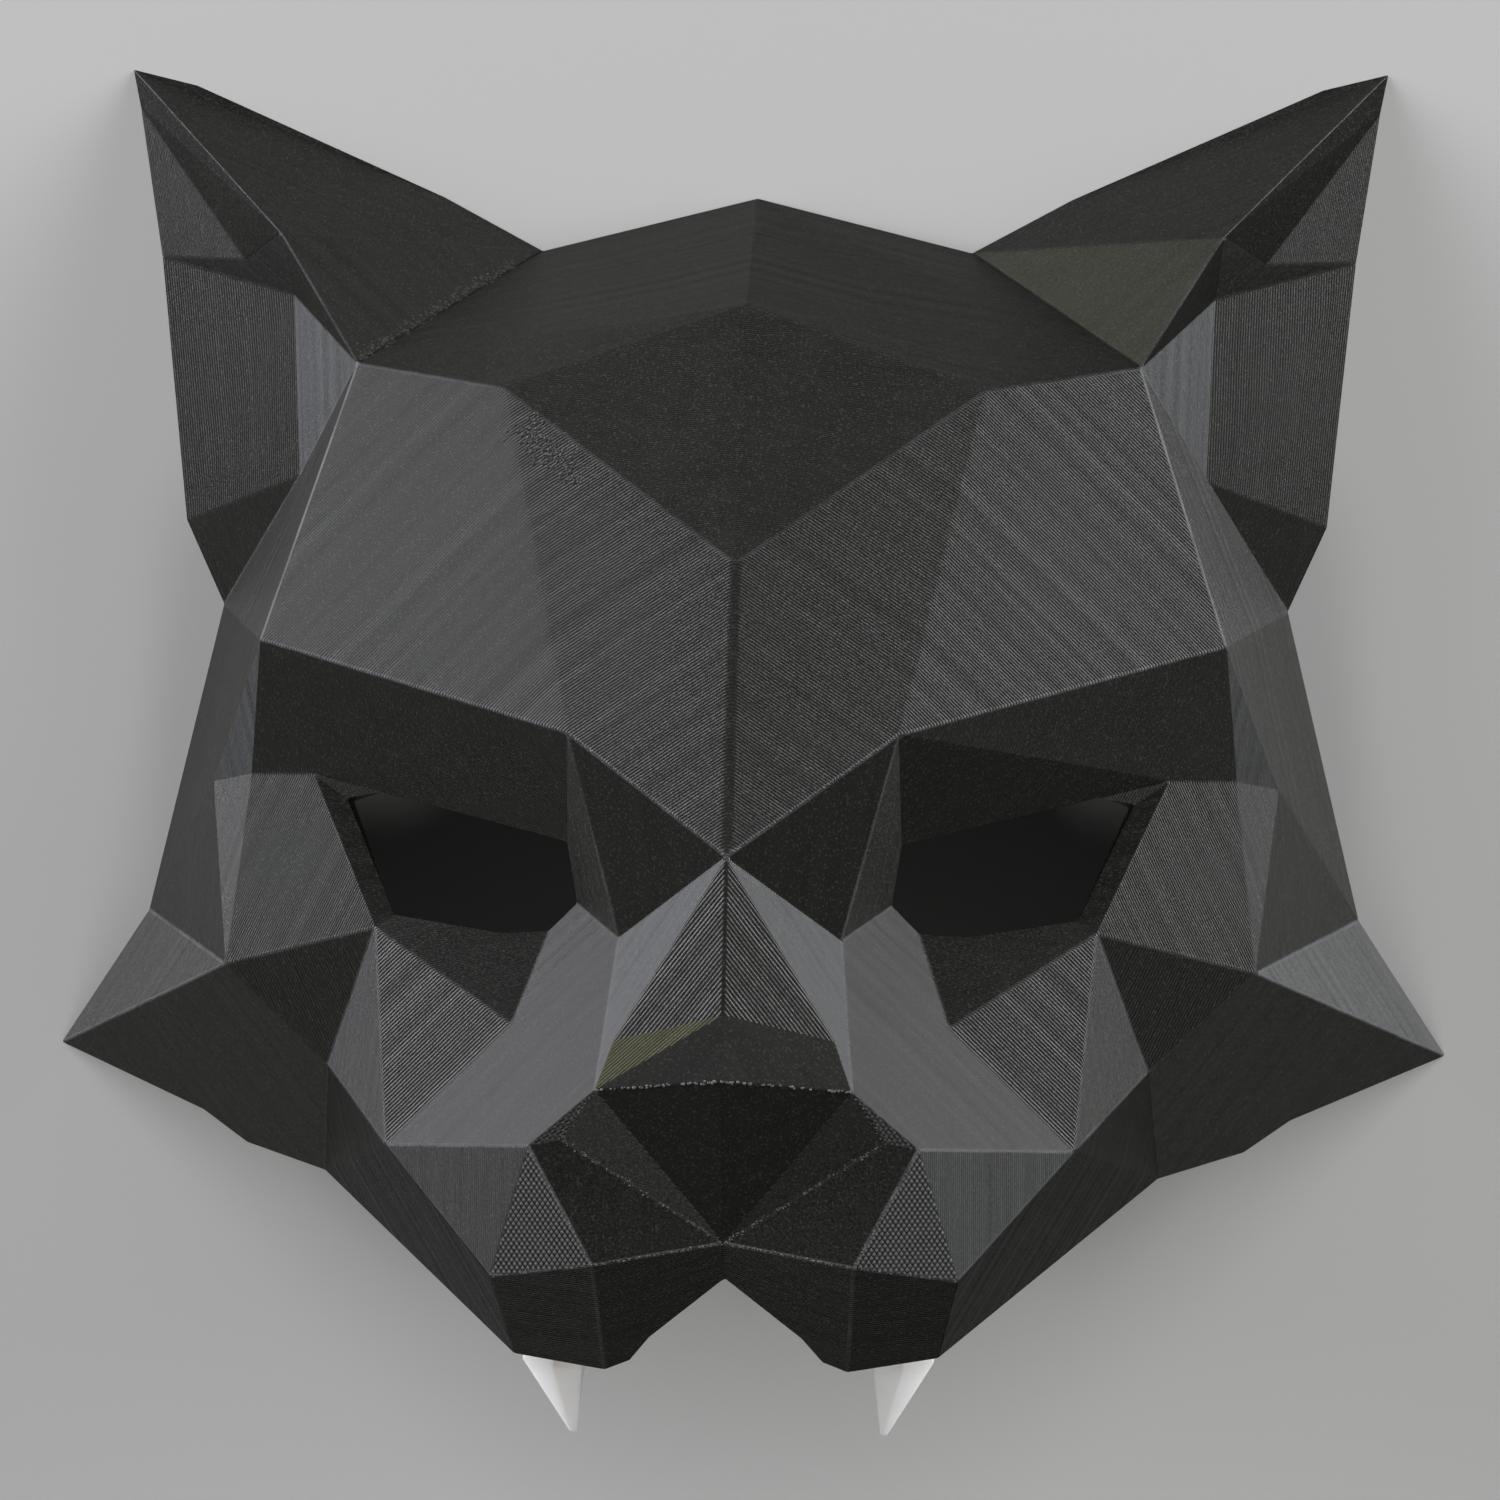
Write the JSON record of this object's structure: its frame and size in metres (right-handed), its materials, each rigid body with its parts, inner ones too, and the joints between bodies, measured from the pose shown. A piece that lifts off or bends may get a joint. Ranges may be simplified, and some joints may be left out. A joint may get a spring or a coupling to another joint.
{
  "type": "geometric cat mask",
  "caption": "Faceted low-poly cat face mask with ears, open eye holes and an open jaw, printed as a thin hollow shell, with pointed fangs behind the upper lip.",
  "frame": {"origin": "in the plane of the flat back rim, on the mid-plane, half way from the ear tips to the fang tips", "axes": "+Z out of the face, away from the back rim; +Y up the face towards the ears; +X across the face, towards the wearer's left side"},
  "size_m": [0.1808, 0.173, 0.077],
  "materials": {
    "black_print": "satin black printed plastic with fine layer lines",
    "white_print": "plain white printed plastic"
  },
  "bodies": {
    "root": {"mask_shell": "black_print", "fang_right": "white_print", "fang_left": "white_print"}
  },
  "joints": []
}
